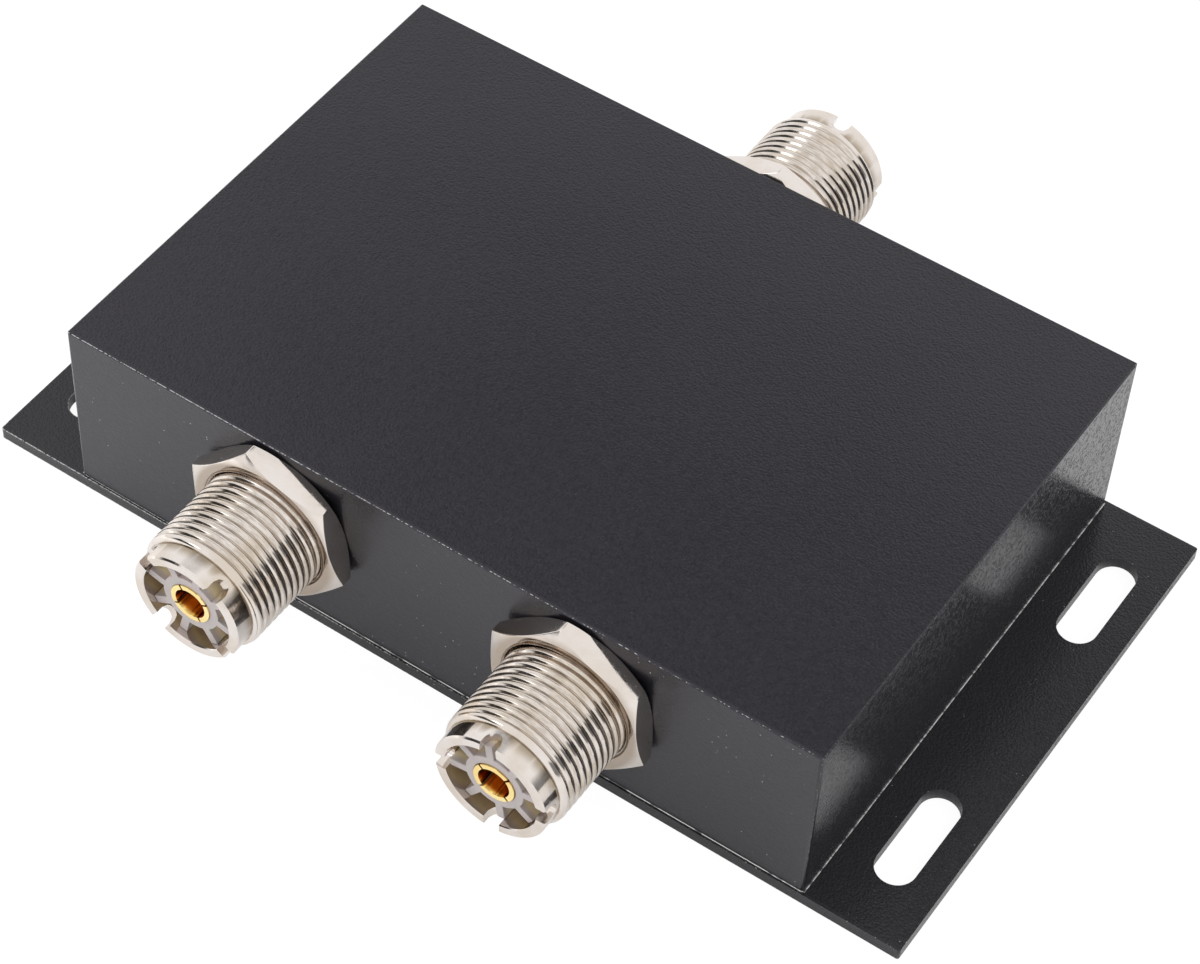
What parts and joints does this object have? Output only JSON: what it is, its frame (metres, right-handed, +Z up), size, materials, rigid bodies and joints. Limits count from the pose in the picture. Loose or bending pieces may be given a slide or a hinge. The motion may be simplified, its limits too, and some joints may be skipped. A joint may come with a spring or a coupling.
{
  "type": "antenna splitter",
  "caption": "Black metal box that splits an antenna feed, on a slotted flange plate, with threaded coaxial sockets on opposite walls and a printed splitter circuit inside.",
  "frame": {"origin": "middle of the base plate's underside", "axes": "+X along the long side, output sockets towards -Y, input socket towards +Y, +Z up"},
  "size_m": [0.1246, 0.101, 0.0268],
  "materials": {
    "housing_coat": "matt black powder coat, fine grain",
    "plate_coat": "satin black coat, fine grain",
    "screw_steel": "zinc-plated steel",
    "nickel": "bright nickel plate on brass",
    "nut_nickel": "bright nickel plate on brass",
    "insulator": "pale grey moulded plastic",
    "gold": "gold plate",
    "laminate": "glass-fibre laminate with solder mask",
    "copper": "copper foil",
    "resistor": "glazed ceramic",
    "solder": "tin solder"
  },
  "bodies": {
    "root": {"housing": "housing_coat", "base_plate": "plate_coat", "cover_screws": "screw_steel", "left_shell": "nickel", "left_nut": "nut_nickel", "left_insulator": "insulator", "left_contact": "gold", "right_shell": "nickel", "right_nut": "nut_nickel", "right_insulator": "insulator", "right_contact": "gold", "input_shell": "nickel", "input_nut": "nut_nickel", "input_insulator": "insulator", "input_contact": "gold", "circuit_board": "laminate", "signal_tracks": "copper", "ground_plane": "copper", "isolation_resistor": "resistor", "solder_joints": "solder", "board_screws": "screw_steel"}
  },
  "joints": []
}
